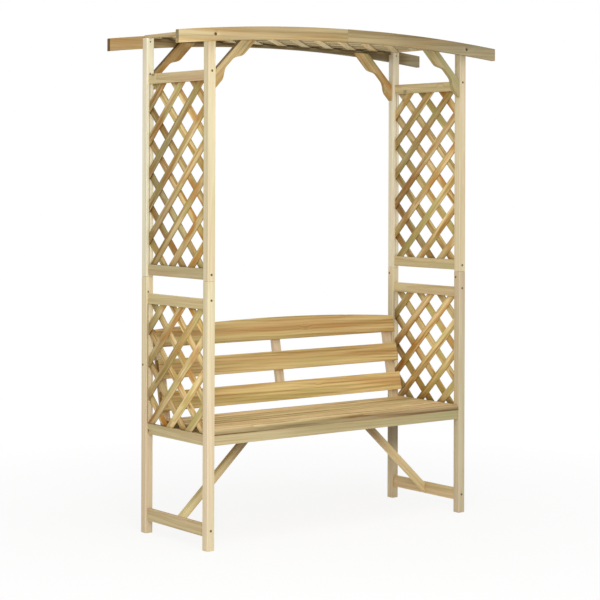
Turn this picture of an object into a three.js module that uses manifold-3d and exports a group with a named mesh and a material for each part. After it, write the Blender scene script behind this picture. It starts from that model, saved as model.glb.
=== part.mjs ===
// Arbour seat: a slatted bench with a leaning back, between lattice sides, under an arched roof.
// Millimetres. X runs to the right as the seat is faced, Y to the back, Z up.
// The origin lies on the ground at the middle of the footprint.
import * as THREE from 'three';
import { mergeVertices } from 'three/addons/utils/BufferGeometryUtils.js';
import Module from 'manifold-3d';

const wasm = await Module();
wasm.setup();

// Overall sizes
const overallWidth = 1600.2;
const overallDepth = 501.65;
const overallHeight = 1981.2;
const seatWidth = 1238.25;
const seatDepth = 368.3;
const seatHeight = 450.85;
const backHeight = 368.3;

// Fits
const seam = 0.2;
const fit = 0.3;
const overrun = 5;

// Posts
const postSize = 33;
const postTopDrop = 10;
const postJoint = 1006;
const postEase = 2;
const spigotRadius = 9;
const spigotLength = 45;
const spigotSides = 16;

// Side rails: the gap above the top ones, and how far the others lie from the ground or the post joint.
// The roof's end rails lie on the post tops.
const railThickness = 16;
const railEase = 2;
const grooveDepth = 8;
const stretcherBottom = 50;
const stretcherHeight = 48;
const seatRailBottom = 390;
const seatRailHeight = 41;
const lowerTopRailDrop = 66;
const lowerTopRailHeight = 40;
const upperFootRailLift = 6;
const upperFootRailHeight = 42;
const topRailGap = 131.2;
const topRailHeight = 40;
const roofRailHeight = 12;

// Lattice
const latticeWidth = 32;
const latticeThickness = 5;
const latticeLap = 0.3;
const diamondsAcrossSide = 3;
const sidePitchUp = 128.4;
const upperDiamondLift = 3;
const lowerDiamondLift = 5.5;
const diamondsAlongRoof = 10;
const roofPitchAcross = 124;

// Arched beams and what they carry
const beamThickness = 22;
const beamHeight = 50;
const frontBeamDrop = 41.5;
const rearBeamDrop = 47;
const beamSteps = 12;
const ledgerWidth = 16;
const ledgerHeight = 10;
const spliceLength = 240;
const spliceThickness = 12;
const spliceHeight = 24;
const spliceLift = 2;

// Knee braces, measured from the corner of post and ledger
const kneeThickness = 22;
const kneeOffset = 93;
const kneeEndWidth = 49;
const kneeWaistWidth = 26;
const kneeWaistHalf = 20;
const kneeShoulderHalf = 76;
const kneeWaistShift = -28;
const kneeSteps = 6;

// Seat
const seatSlatCount = 4;
const seatSlatWidth = 86;
const seatSlatThickness = 22;
const seatEase = 3;
const seatNose = 10;
const noseSteps = 5;
const seatSetback = 2.825;
const apronSetback = 4;
const apronThickness = 22;
const apronBottom = 391;
const bearerThickness = 22;
const middleBearerPlace = 228;
const seatBraceWidth = 30;
const seatBraceThickness = 20;
const seatBraceFoot = 75;
const seatBraceSlope = THREE.MathUtils.degToRad(42.5);

// Back
const backLean = THREE.MathUtils.degToRad(11);
const backSlatThickness = 20;
const backSlatWidth = 76;
const backSideGap = 5.125;
const backSlatGap = 49.3;
const backSlatStart = 32.8;
const backEase = 2;
const crestDrop = 22;
const crestSteps = 10;
const stileWidth = 35;
const stileThickness = 22;
const stileLength = 345;
const stileFootBottom = 392;
const stileInset = 8;
const centreStileShift = -12;
const centreStileCover = 7;

// Bolts through beams and posts, both their ends sunk below the wood
const boltShank = 3;
const boltHead = 6;
const boltHeadHeight = 3;
const boltSink = 2;
const boltSides = 12;

// Places worked out from the sizes above
const postInnerX = seatWidth / 2;
const postCentreX = postInnerX + postSize / 2;
const postOuterY = overallDepth / 2 - beamThickness;
const postInnerY = postOuterY - postSize;
const postCentreY = postOuterY - postSize / 2;
const ends = [
  { name: 'front', sign: -1, beamDrop: frontBeamDrop },
  { name: 'rear', sign: 1, beamDrop: rearBeamDrop },
];
const postTop = beamTopAtPost(rearBeamDrop) - postTopDrop;
const boltLength = beamThickness + postSize - boltSink;
const ledgerBottom = overallHeight - beamHeight;
const railInnerX = postCentreX - railThickness / 2;
const railLength = 2 * (postInnerY - seam);
const betweenPosts = 2 * (postInnerX - seam);
const backSlatHalfLength = postInnerX - backSideGap;
const seatFront = -postOuterY + seatSetback;
const seatRear = seatFront + seatDepth;
const seatUnderside = seatHeight - seatSlatThickness;
const apronHeight = seatUnderside - seam - apronBottom;
const apronMiddle = apronBottom + apronHeight / 2;
const frontApronRear = -postOuterY + apronSetback + apronThickness;
const rearApronFront = seatRear - apronThickness;
const latticeTotal = 2 * latticeThickness - latticeLap;
const grooveWidth = latticeTotal + 2 * fit;
const latticeBase = ledgerBottom + ledgerHeight + seam;
const lowerTopRailBottom = postJoint - lowerTopRailDrop - lowerTopRailHeight;
const upperFootRailBottom = postJoint + upperFootRailLift;
const topRailBottom = ledgerBottom - topRailGap - topRailHeight;
const sides = [{ name: 'left', sign: -1 }, { name: 'right', sign: 1 }];

const arbour = new THREE.Group();

// Materials
const paleTimber = { colour: 0xe2cfae, roughness: 0.75 };
const railTimber = { colour: 0xd9c096, roughness: 0.75 };
const latticeTimber = { colour: 0xaf8a4e, roughness: 0.8 };
const beamTimber = { colour: 0xc8af7d, roughness: 0.75 };
const seatTimber = { colour: 0xc3a56e, roughness: 0.75 };
const backTimber = { colour: 0xbe9b5f, roughness: 0.75 };
const hiddenTimber = { colour: 0xb5945c, roughness: 0.8 };
const darkSteel = { colour: 0x3a352c, roughness: 0.5, metalness: 0.8 };

function makeMaterial(look) {
  const metalness = look.metalness ?? 0;
  return new THREE.MeshStandardMaterial({ color: look.colour, roughness: look.roughness, metalness });
}

function addPiece(parent, name, geometry, look, place) {
  const mesh = new THREE.Mesh(geometry, makeMaterial(look));
  mesh.name = name;
  mesh.position.set(...place);
  parent.add(mesh);
}

// Closed geometry with merged corners, no flat triangles and its faces out
function tidyGeometry(source) {
  const bare = source.clone();
  bare.deleteAttribute('normal');
  bare.deleteAttribute('uv');
  const merged = mergeVertices(bare);
  const position = merged.getAttribute('position');
  const index = merged.getIndex().array;
  const kept = [];
  const [a, b, c] = [new THREE.Vector3(), new THREE.Vector3(), new THREE.Vector3()];
  let volume = 0;
  for (let i = 0; i < index.length; i += 3) {
    const [p, q, r] = [index[i], index[i + 1], index[i + 2]];
    if (p === q || q === r || r === p) continue;
    kept.push(p, q, r);
    a.fromBufferAttribute(position, p);
    b.fromBufferAttribute(position, q);
    c.fromBufferAttribute(position, r);
    volume += a.dot(b.cross(c));
  }
  if (volume < 0) kept.reverse();
  merged.setIndex(kept);
  return merged;
}

function toSolid(source) {
  const geometry = tidyGeometry(source);
  const vertProperties = new Float32Array(geometry.getAttribute('position').array);
  const triVerts = new Uint32Array(geometry.getIndex().array);
  return new wasm.Manifold(new wasm.Mesh({ numProp: 3, vertProperties, triVerts }));
}

function fromSolid(solid) {
  const cut = solid.getMesh();
  const geometry = new THREE.BufferGeometry();
  geometry.setAttribute('position', new THREE.Float32BufferAttribute(cut.vertProperties, 3));
  geometry.setIndex(Array.from(cut.triVerts));
  geometry.computeVertexNormals();
  return geometry;
}

// Turns an upright extrusion to run along X, its outline given in Y and Z
function turnToX(geometry) {
  const axes = [new THREE.Vector3(0, 1, 0), new THREE.Vector3(0, 0, 1), new THREE.Vector3(1, 0, 0)];
  return geometry.applyMatrix4(new THREE.Matrix4().makeBasis(...axes));
}

// Turns an upright extrusion to run along Y, its outline given in Z and X
function turnToY(geometry) {
  const axes = [new THREE.Vector3(0, 0, 1), new THREE.Vector3(1, 0, 0), new THREE.Vector3(0, 1, 0)];
  return geometry.applyMatrix4(new THREE.Matrix4().makeBasis(...axes));
}

// Extrudes an outline, with half the length on each side of zero
function extrudeCentred(points, length) {
  const shape = new THREE.Shape(points);
  const solid = new THREE.ExtrudeGeometry(shape, { depth: length, bevelEnabled: false });
  return solid.translate(0, 0, -length / 2);
}

// Rectangle about the origin with its corners cut off
function easedOutline(width, height, ease) {
  const [w, h] = [width / 2, height / 2];
  return [
    new THREE.Vector2(-w + ease, -h), new THREE.Vector2(w - ease, -h),
    new THREE.Vector2(w, -h + ease), new THREE.Vector2(w, h - ease),
    new THREE.Vector2(w - ease, h), new THREE.Vector2(-w + ease, h),
    new THREE.Vector2(-w, h - ease), new THREE.Vector2(-w, -h + ease),
  ];
}

// The same outline in Z and X, with a groove along the top edge or the foot edge
function groovedOutline(height, thickness, ease, grooveSide) {
  const outline = easedOutline(height, thickness, ease);
  const edge = height / 2;
  const bed = edge - grooveDepth;
  const half = grooveWidth / 2;
  const groove = [[edge, -half], [bed, -half], [bed, half], [edge, half]];
  const after = grooveSide > 0 ? 2 : 6;
  const notch = groove.map(([z, x]) => new THREE.Vector2(grooveSide * z, grooveSide * x));
  return [...outline.slice(0, after + 1), ...notch, ...outline.slice(after + 1)];
}

function barX(length, depth, height, ease) {
  return turnToX(extrudeCentred(easedOutline(depth, height, ease), length));
}

function barY(width, length, height, ease) {
  return turnToY(extrudeCentred(easedOutline(height, width, ease), length));
}

// Outline given in X and Z, with its thickness along Y about zero
function plateAcrossY(points, thickness) {
  return extrudeCentred(points, thickness).rotateX(Math.PI / 2);
}

// Keeps the part of a convex outline that lies in a box
function clipToBox(points, low, high) {
  const walls = [
    (p) => p.x - low.x, (p) => high.x - p.x,
    (p) => p.y - low.y, (p) => high.y - p.y,
  ];
  let outline = points;
  for (const inside of walls) {
    const next = [];
    outline.forEach((point, i) => {
      const after = outline[(i + 1) % outline.length];
      const [here, there] = [inside(point), inside(after)];
      if (here >= 0) next.push(point);
      if (here * there < 0) next.push(point.clone().lerp(after, here / (here - there)));
    });
    outline = next;
  }
  return outline;
}

// Outlines of one layer of lattice: parallel slats between the diamonds, clipped to the panel.
// The middle of one diamond lies at the origin of the outline.
function latticeOutlines(pitchAcross, pitchUp, low, high, lean) {
  const along = new THREE.Vector2(pitchAcross, lean * pitchUp).normalize();
  const across = new THREE.Vector2(-along.y, along.x).multiplyScalar(latticeWidth / 2);
  const reach = along.clone().multiplyScalar(high.distanceTo(low));
  const count = Math.ceil(high.distanceTo(low) / Math.min(pitchAcross, pitchUp)) + 1;
  const outlines = [];
  for (let i = -count; i < count; i += 1) {
    const middle = new THREE.Vector2(0, (i + 1 / 2) * pitchUp);
    const strip = [
      middle.clone().sub(reach).sub(across), middle.clone().add(reach).sub(across),
      middle.clone().add(reach).add(across), middle.clone().sub(reach).add(across),
    ];
    const outline = clipToBox(strip, low, high);
    if (outline.length < 3) continue;
    if (Math.abs(THREE.ShapeUtils.area(outline)) > latticeWidth * latticeWidth) outlines.push(outline);
  }
  return outlines;
}

// Both layers of a lattice, fixed where they cross, stacked along the third axis about zero.
// The lean is that of the upper layer's slats.
function latticePanel(pitchAcross, pitchUp, low, high, lean) {
  const step = (latticeThickness - latticeLap) / 2;
  const slats = [-1, 1].flatMap((side) => latticeOutlines(pitchAcross, pitchUp, low, high, side * lean)
    .map((outline) => extrudeCentred(outline, latticeThickness).translate(0, 0, side * step)));
  return fromSolid(slats.map(toSolid).reduce((panel, slat) => panel.add(slat)));
}

// Posts: each in two lengths, the upper one with a round spigot that fits into the lower one
function addPosts() {
  const section = easedOutline(postSize, postSize, postEase);
  const lowerLength = postJoint;
  const upperLength = postTop - postJoint - seam;
  const lower = extrudeCentred(section, lowerLength);
  const upper = extrudeCentred(section, upperLength);
  const spigot = upright(spigotRadius, spigotLength + seam).translate(0, 0, -upperLength / 2);
  const socketLength = spigotLength + 2 * fit;
  const socket = upright(spigotRadius + fit, socketLength).translate(0, 0, lowerLength / 2);
  const lowerCut = fromSolid(toSolid(lower).subtract(toSolid(socket)));
  const upperJoined = fromSolid(toSolid(upper).add(toSolid(spigot)));
  for (const side of sides) {
    for (const end of ends) {
      const [x, y] = [side.sign * postCentreX, end.sign * postCentreY];
      const name = `post_${end.name}_${side.name}`;
      addPiece(arbour, `${name}_lower`, lowerCut.clone(), paleTimber, [x, y, lowerLength / 2]);
      const upperMiddle = postJoint + seam + upperLength / 2;
      addPiece(arbour, `${name}_upper`, upperJoined.clone(), paleTimber, [x, y, upperMiddle]);
    }
  }
}

// Upright cylinder that reaches the given length above and below zero
function upright(radius, reach) {
  return new THREE.CylinderGeometry(radius, radius, 2 * reach, spigotSides).rotateX(Math.PI / 2);
}

// Side panels: five rails between the posts, with lattice in the grooves of four of them
function addSidePanels() {
  const rails = [
    { name: 'stretcher', from: stretcherBottom, height: stretcherHeight, groove: 0 },
    { name: 'seat_rail', from: seatRailBottom, height: seatRailHeight, groove: 1 },
    { name: 'lower_top_rail', from: lowerTopRailBottom, height: lowerTopRailHeight, groove: -1 },
    { name: 'upper_foot_rail', from: upperFootRailBottom, height: upperFootRailHeight, groove: 1 },
    { name: 'top_rail', from: topRailBottom, height: topRailHeight, groove: -1 },
  ];
  const panels = [
    {
      name: 'lower',
      from: seatRailBottom + seatRailHeight,
      to: lowerTopRailBottom,
      lift: lowerDiamondLift,
    },
    {
      name: 'upper',
      from: upperFootRailBottom + upperFootRailHeight,
      to: topRailBottom,
      lift: upperDiamondLift,
    },
  ];
  const pitchAcross = 2 * postInnerY / diamondsAcrossSide;
  for (const side of sides) {
    const x = side.sign * postCentreX;
    for (const rail of rails) {
      const plain = easedOutline(rail.height, railThickness, railEase);
      const grooved = groovedOutline(rail.height, railThickness, railEase, rail.groove);
      const geometry = turnToY(extrudeCentred(rail.groove ? grooved : plain, railLength));
      const place = [x, 0, rail.from + rail.height / 2];
      addPiece(arbour, `${rail.name}_${side.name}`, geometry, railTimber, place);
    }
    for (const panel of panels) {
      const bite = grooveDepth - fit;
      const diamond = (panel.from + panel.to) / 2 + panel.lift;
      const low = new THREE.Vector2(-railLength / 2, panel.from - bite - diamond);
      const high = new THREE.Vector2(railLength / 2, panel.to + bite - diamond);
      const geometry = turnToX(latticePanel(pitchAcross, sidePitchUp, low, high, 1));
      const name = `lattice_${panel.name}_${side.name}`;
      addPiece(arbour, name, geometry, latticeTimber, [x, 0, diamond]);
    }
  }
}

// Height of the arch above its crown, a negative number, at a distance from the middle
function archFall(x, halfSpan, drop) {
  const radius = (halfSpan * halfSpan + drop * drop) / (2 * drop);
  return Math.sqrt(radius * radius - x * x) - radius;
}

function beamTopAtPost(drop) {
  return overallHeight + archFall(postCentreX, overallWidth / 2, drop);
}

// Arched beams in two halves each, butted in the middle, each half bolted to its post
function addBeams() {
  const half = overallWidth / 2;
  for (const end of ends) {
    for (const side of sides) {
      const top = [];
      for (let i = 0; i <= beamSteps; i += 1) {
        const x = seam / 2 + (half - seam / 2) * i / beamSteps;
        top.push(new THREE.Vector2(side.sign * x, archFall(x, half, end.beamDrop)));
      }
      const foot = top.map((point) => new THREE.Vector2(point.x, point.y - beamHeight)).reverse();
      const beam = plateAcrossY([...top, ...foot], beamThickness);
      const y = end.sign * (overallDepth - beamThickness) / 2;
      const name = `${end.name}_${side.name}`;
      addPiece(arbour, `beam_${name}`, beam, beamTimber, [0, y, overallHeight]);
      addBolt(name, side.sign * postCentreX, end);
    }
  }
}

function addBolt(name, x, end) {
  const place = new THREE.Matrix4().makeRotationX(end.sign > 0 ? 0 : Math.PI);
  const boltHeight = beamTopAtPost(end.beamDrop) - beamHeight / 2;
  place.setPosition(x, end.sign * overallDepth / 2, boltHeight);
  const bolt = new THREE.LatheGeometry(boltProfile(0), boltSides).applyMatrix4(place);
  const hole = new THREE.LatheGeometry(boltProfile(fit), boltSides).applyMatrix4(place);
  for (const bored of [`beam_${name}`, `post_${name}_upper`]) {
    const mesh = arbour.getObjectByName(bored);
    const cutter = toSolid(hole.clone().translate(...mesh.position.clone().negate()));
    mesh.geometry = fromSolid(toSolid(mesh.geometry).subtract(cutter));
  }
  addPiece(arbour, `bolt_${name}`, bolt, darkSteel, [0, 0, 0]);
}

// Radius and height of a bolt that hangs from zero, or with room round it, of its hole
function boltProfile(room) {
  const top = room ? overrun : -boltSink;
  const neck = -boltSink - boltHeadHeight - room;
  const foot = -boltLength - (room ? boltSink + overrun : 0);
  return [
    new THREE.Vector2(0, foot), new THREE.Vector2(boltShank + room, foot),
    new THREE.Vector2(boltShank + room, neck), new THREE.Vector2(boltHead + room, neck),
    new THREE.Vector2(boltHead + room, top), new THREE.Vector2(0, top),
  ];
}

// Roof: ledgers on the beams carry a flat lattice, and a rail lies on the post tops at each end
function addRoof() {
  for (const end of ends) {
    const ledgerY = end.sign * (postOuterY - seam - ledgerWidth / 2);
    const ledger = barX(betweenPosts, ledgerWidth, ledgerHeight, railEase);
    const place = [0, ledgerY, ledgerBottom + ledgerHeight / 2];
    addPiece(arbour, `roof_ledger_${end.name}`, ledger, hiddenTimber, place);
    const spliceY = end.sign * (postOuterY - seam - spliceThickness / 2);
    const spliceZ = latticeBase + latticeTotal + spliceLift + spliceHeight / 2;
    const splice = barX(spliceLength, spliceThickness, spliceHeight, railEase);
    addPiece(arbour, `beam_splice_${end.name}`, splice, hiddenTimber, [0, spliceY, spliceZ]);
  }
  for (const side of sides) {
    const rail = barY(railThickness, 2 * (postOuterY - seam), roofRailHeight, railEase);
    const place = [side.sign * postCentreX, 0, postTop + seam + roofRailHeight / 2];
    addPiece(arbour, `roof_end_rail_${side.name}`, rail, railTimber, place);
  }
  const high = new THREE.Vector2(betweenPosts / 2, postOuterY - seam);
  const low = high.clone().negate();
  const lattice = latticePanel(seatWidth / diamondsAlongRoof, roofPitchAcross, low, high, -1);
  const place = [0, 0, latticeBase + latticeTotal / 2];
  addPiece(arbour, 'lattice_roof', lattice, latticeTimber, place);
}

// Outline of a knee brace: a straight back, and an inner edge drawn in between two wide ends.
// Each point is given by its run along the brace and its distance square from the corner.
function kneeOutline(sign) {
  const endReach = kneeOffset + kneeEndWidth;
  const waistReach = kneeOffset + kneeWaistWidth;
  const fromCorner = (run, reach) => new THREE.Vector2(
    sign * (reach + run) / Math.SQRT2, (run - reach) / Math.SQRT2);
  const points = [
    fromCorner(kneeOffset, kneeOffset), fromCorner(-kneeOffset, kneeOffset),
    fromCorner(-endReach, endReach),
  ];
  const stations = [];
  for (let i = 0; i <= kneeSteps; i += 1) stations.push(i / kneeSteps);
  const edge = (share) => ({
    run: kneeShoulderHalf + (kneeWaistHalf - kneeShoulderHalf) * share,
    reach: endReach + (waistReach - endReach) * (1 - Math.cos(Math.PI * share)) / 2,
  });
  const inward = stations.map(edge);
  for (const point of inward) points.push(fromCorner(kneeWaistShift - point.run, point.reach));
  for (const point of inward.reverse()) points.push(fromCorner(kneeWaistShift + point.run, point.reach));
  points.push(fromCorner(endReach, endReach));
  return points;
}

function addKneeBraces() {
  for (const end of ends) {
    for (const side of sides) {
      const geometry = plateAcrossY(kneeOutline(-side.sign), kneeThickness);
      const x = side.sign * (postInnerX - seam);
      const y = end.sign * (postOuterY - seam - kneeThickness / 2);
      const place = [x, y, ledgerBottom - seam];
      addPiece(arbour, `knee_brace_${end.name}_${side.name}`, geometry, backTimber, place);
    }
  }
}

// The front slat's outline in Y and Z: like the others, with a rounded nose
function nosedOutline() {
  const outline = easedOutline(seatSlatWidth, seatSlatThickness, seatEase);
  const middle = new THREE.Vector2(-seatSlatWidth / 2 + seatNose, seatSlatThickness / 2 - seatNose);
  const nose = [];
  for (let i = 0; i <= noseSteps; i += 1) {
    const angle = Math.PI / 2 * (1 + i / noseSteps);
    nose.push(new THREE.Vector2(Math.cos(angle), Math.sin(angle)).multiplyScalar(seatNose).add(middle));
  }
  return [...outline.slice(0, 5), ...nose, outline[7]];
}

function seatSlatMiddle(i) {
  const pitch = (seatDepth - seatSlatWidth) / (seatSlatCount - 1);
  return seatFront + seatSlatWidth / 2 + i * pitch;
}

// Bench: four slats on two aprons, two side bearers and two middle bearers
function addSeat() {
  const plain = easedOutline(seatSlatWidth, seatSlatThickness, seatEase);
  for (let i = 0; i < seatSlatCount; i += 1) {
    const outline = i === 0 ? nosedOutline() : plain;
    const slat = turnToX(extrudeCentred(outline, betweenPosts));
    const place = [0, seatSlatMiddle(i), seatHeight - seatSlatThickness / 2];
    addPiece(arbour, `seat_slat_${i + 1}`, slat, seatTimber, place);
  }
  const frontApron = barX(betweenPosts, apronThickness, apronHeight, railEase);
  addPiece(arbour, 'seat_apron_front', frontApron, railTimber,
    [0, frontApronRear - apronThickness / 2, apronMiddle]);
  const rearApron = barX(2 * (railInnerX - seam), apronThickness, apronHeight, railEase);
  addPiece(arbour, 'seat_apron_rear', rearApron, hiddenTimber,
    [0, rearApronFront + apronThickness / 2, apronMiddle]);
  const sideFront = -postInnerY + seam;
  const middleFront = frontApronRear + seam;
  const rear = rearApronFront - seam;
  const bearers = [
    { name: 'side', x: railInnerX - seam - bearerThickness / 2, from: sideFront },
    { name: 'middle', x: middleBearerPlace, from: middleFront },
  ];
  for (const bearer of bearers) {
    for (const side of sides) {
      const geometry = barY(bearerThickness, rear - bearer.from, apronHeight, railEase);
      const place = [side.sign * bearer.x, (rear + bearer.from) / 2, apronMiddle];
      addPiece(arbour, `seat_bearer_${bearer.name}_${side.name}`, geometry, hiddenTimber, place);
    }
  }
}

// Struts from the stretchers up to the middle bearers, each end cut to what it meets
function addSeatBraces() {
  const foot = new THREE.Vector2(railInnerX - seam, seatBraceFoot);
  const head = middleBearerPlace + bearerThickness / 2 + seam;
  const along = new THREE.Vector2(-Math.cos(seatBraceSlope), Math.sin(seatBraceSlope));
  const across = new THREE.Vector2(along.y, -along.x).multiplyScalar(seatBraceWidth / 2);
  const reach = along.clone().multiplyScalar(seatWidth);
  const strip = [
    foot.clone().sub(reach).sub(across), foot.clone().sub(reach).add(across),
    foot.clone().add(reach).add(across), foot.clone().add(reach).sub(across),
  ];
  const low = new THREE.Vector2(head, 0);
  const high = new THREE.Vector2(foot.x, seatUnderside - seam);
  const outline = clipToBox(strip, low, high);
  for (const side of sides) {
    const mirrored = outline.map((point) => new THREE.Vector2(side.sign * point.x, point.y));
    const geometry = plateAcrossY(mirrored, seatBraceThickness);
    addPiece(arbour, `seat_brace_${side.name}`, geometry, backTimber, [0, 0, 0]);
  }
}

// Back: two slats and an arched crest on three stiles. The outer stiles stand on the seat's rear edge,
// their feet cut plumb, and the centre one only joins the slats.
const back = new THREE.Group();
back.position.set(0, seatRear + seam - (backSlatThickness + seam) / Math.cos(backLean), seatHeight);
back.rotation.x = -backLean;
arbour.add(back);
const backPitch = backSlatWidth + backSlatGap;
const crestStart = backSlatStart + 2 * backPitch;
const crestTop = backHeight / Math.cos(backLean);
const outerStilePlace = backSlatHalfLength - stileInset - stileWidth / 2;
const stilePlaces = [
  { name: 'left', x: -outerStilePlace, stands: true },
  { name: 'centre', x: centreStileShift, stands: false },
  { name: 'right', x: outerStilePlace, stands: true },
];

function addBackSlats() {
  ['lower', 'middle'].forEach((name, i) => {
    const slat = barX(2 * backSlatHalfLength, backSlatThickness, backSlatWidth, backEase);
    const place = [0, backSlatThickness / 2, backSlatStart + i * backPitch + backSlatWidth / 2];
    addPiece(back, `back_slat_${name}`, slat, backTimber, place);
  });
  const points = [];
  for (let i = -crestSteps; i <= crestSteps; i += 1) {
    const x = backSlatHalfLength * i / crestSteps;
    points.push(new THREE.Vector2(x, crestTop - crestStart + archFall(x, backSlatHalfLength, crestDrop)));
  }
  const base = [new THREE.Vector2(backSlatHalfLength, 0), new THREE.Vector2(-backSlatHalfLength, 0)];
  const crest = plateAcrossY([...points, ...base], backSlatThickness);
  addPiece(back, 'back_crest', crest, backTimber, [0, backSlatThickness / 2, crestStart]);
}

// Y and Z of a point on a stile, from the seat's rear edge, by its rise along the lean and its depth
function stilePoint(rise, depth) {
  const [sine, cosine] = [Math.sin(backLean), Math.cos(backLean)];
  return new THREE.Vector2(seam + rise * sine + depth * cosine, rise * cosine - depth * sine);
}

function stileOutline(stands) {
  const head = [stilePoint(stileLength, stileThickness), stilePoint(stileLength, 0)];
  if (!stands) {
    const foot = backSlatStart + centreStileCover;
    return [stilePoint(foot, 0), stilePoint(foot, stileThickness), ...head];
  }
  const footDrop = seatHeight - stileFootBottom;
  const footRear = seam + stileThickness / Math.cos(backLean) - footDrop * Math.tan(backLean);
  const foot = [new THREE.Vector2(seam, -footDrop), new THREE.Vector2(footRear, -footDrop)];
  return [...foot, ...head, stilePoint(0, 0)];
}

function addStiles() {
  for (const stile of stilePlaces) {
    const geometry = turnToX(extrudeCentred(stileOutline(stile.stands), stileWidth));
    const place = [stile.x, seatRear, seatHeight];
    addPiece(arbour, `back_stile_${stile.name}`, geometry, hiddenTimber, place);
  }
}

addPosts();
addSidePanels();
addBeams();
addRoof();
addKneeBraces();
addSeat();
addSeatBraces();
addBackSlats();
addStiles();

export default arbour;
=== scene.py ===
import bpy
import bmesh
import math
import random
from mathutils import Matrix, Vector


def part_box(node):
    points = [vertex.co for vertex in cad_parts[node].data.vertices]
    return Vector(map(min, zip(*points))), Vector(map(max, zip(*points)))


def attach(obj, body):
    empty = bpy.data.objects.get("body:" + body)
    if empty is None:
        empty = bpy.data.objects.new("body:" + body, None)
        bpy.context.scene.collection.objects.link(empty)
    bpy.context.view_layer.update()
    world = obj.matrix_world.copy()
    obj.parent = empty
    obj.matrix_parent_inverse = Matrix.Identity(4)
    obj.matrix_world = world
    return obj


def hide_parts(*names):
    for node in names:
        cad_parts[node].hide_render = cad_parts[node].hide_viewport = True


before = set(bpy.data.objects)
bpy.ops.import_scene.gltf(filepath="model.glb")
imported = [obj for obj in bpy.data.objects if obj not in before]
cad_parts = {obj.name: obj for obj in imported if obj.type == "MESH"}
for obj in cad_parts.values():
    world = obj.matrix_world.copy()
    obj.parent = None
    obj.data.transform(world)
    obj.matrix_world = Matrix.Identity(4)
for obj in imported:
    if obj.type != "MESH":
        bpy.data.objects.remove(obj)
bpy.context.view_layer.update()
print("frame loaded:", len(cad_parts), "nodes")


def addObject(name, data):
    thing = bpy.data.objects.new(name, data)
    bpy.context.scene.collection.objects.link(thing)
    return thing


# camera, solved from the stated sizes and the straight edges of the seat
viewCamera = {"place": (-4.378581, -5.624017, 1.404711), "turn": 37.62, "roll": 0.184, "focal": 1757.847,
              "imageSide": 600, "shiftY": -124.671, "sensor": 36, "near": 0.1, "far": 200}


def makeCamera(values):
    data = bpy.data.cameras.new("photoCamera")
    data.sensor_fit = "HORIZONTAL"
    data.sensor_width = values["sensor"]
    data.lens = values["focal"] / values["imageSide"] * values["sensor"]
    data.shift_y = values["shiftY"] / values["imageSide"]
    data.clip_start, data.clip_end = values["near"], values["far"]
    turn, roll = math.radians(values["turn"]), math.radians(values["roll"])
    right = Vector((math.cos(turn), -math.sin(turn), 0))
    ahead = Vector((math.sin(turn), math.cos(turn), 0))
    up = Vector((0, 0, 1))
    cameraRight = math.cos(roll) * right + math.sin(roll) * up
    cameraUp = -math.sin(roll) * right + math.cos(roll) * up
    turned = Matrix((cameraRight, cameraUp, -ahead)).transposed()
    camera = addObject("photoCamera", data)
    camera.matrix_world = Matrix.Translation(values["place"]) @ turned.to_4x4()
    bpy.context.scene.camera = camera


makeCamera(viewCamera)
print("camera set")


# short ways to add nodes: settings by name, inputs by name or number
def nodeMaker(tree):
    def make(kind, inputs=None, **settings):
        node = tree.nodes.new(kind)
        for name, value in settings.items():
            setattr(node, name, value)
        for key, value in (inputs or {}).items():
            if isinstance(value, bpy.types.NodeSocket):
                tree.links.new(value, node.inputs[key])
            else:
                node.inputs[key].default_value = value
        return node

    def made(kind, inputs=None, **settings):
        return make(kind, inputs, **settings).outputs[0]

    def maths(operation, *values):
        return made("ShaderNodeMath", dict(enumerate(values)), operation=operation)

    def vectors(operation, *values):
        node = make("ShaderNodeVectorMath", dict(enumerate(values)), operation=operation)
        return node.outputs["Value" if operation in ("LENGTH", "DOT_PRODUCT") else "Vector"]

    def combined(x=0.0, y=0.0, z=0.0):
        return made("ShaderNodeCombineXYZ", {0: x, 1: y, 2: z})

    return make, made, maths, vectors, combined


def addInputs(tree, sockets):
    # the named inputs of a tree, each of the kind of its first value
    for name, value in sockets.items():
        if value is None:
            kind = "Material"
        elif isinstance(value, tuple):
            kind = "Color" if len(value) == 4 else "Vector"
        else:
            kind = "Int" if isinstance(value, int) else "Float"
        socket = tree.interface.new_socket(name, in_out="INPUT", socket_type="NodeSocket" + kind)
        if value is not None:
            socket.default_value = value


def newMaterial(name):
    # an empty material and what adds nodes to it
    material = bpy.data.materials.new(name)
    material.use_nodes = True
    material.node_tree.nodes.clear()
    return material, nodeMaker(material.node_tree)


# sockets of the shared timber group, with a plain softwood as its start
timberSockets = {"Place": (0.0, 0.0, 0.0), "Tone": 1.0, "Lean": 0.0, "End": 0.0, "Arris": 0.0,
                 "Light Wood": (0.75, 0.6, 0.4, 1), "Late Wood": (0.5, 0.34, 0.16, 1),
                 "Red Tint": (0.6, 0.36, 0.2, 1), "Green Tint": (0.6, 0.56, 0.3, 1),
                 "Rings": 0.35, "Streaks": 0.35, "Reds": 0.3, "Greens": 0.3, "Knots": 0.8, "Patch Run": 1.4}

# sizes of the timber figure, in metres or per metre along, across and through a board, how far each mark
# changes the wood, and the bands of a noise or a distance over which a mark sets in
timberFigure = {"ringsPerMetre": 78, "ringEdge": 2.0, "fineRings": 230, "fineEdge": 2.5, "pithDepth": 0.05,
                "taper": 0.02, "wander": 0.05, "warp": (1.3, 5, 5), "streaks": (1.3, 62, 62),
                "streakBand": (0.36, 0.64), "fibres": (11, 520, 520), "fibreBand": (0.3, 0.7),
                "patchesAcross": 20.0, "patchBand": (0.46, 0.66), "knotCells": (9, 15, 15),
                "knotShare": 0.87, "knotBend": 0.007, "knotValue": 0.32, "heartBand": (0.15, 0.07),
                "haloBand": (0.42, 0.08), "fibreDark": 0.2, "fineDark": 0.16, "endGrainAndShadeDark": 0.45,
                "arrisPaleAndHighlight": 0.06, "roughness": 0.6, "fibreRoughness": 0.14}


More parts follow.
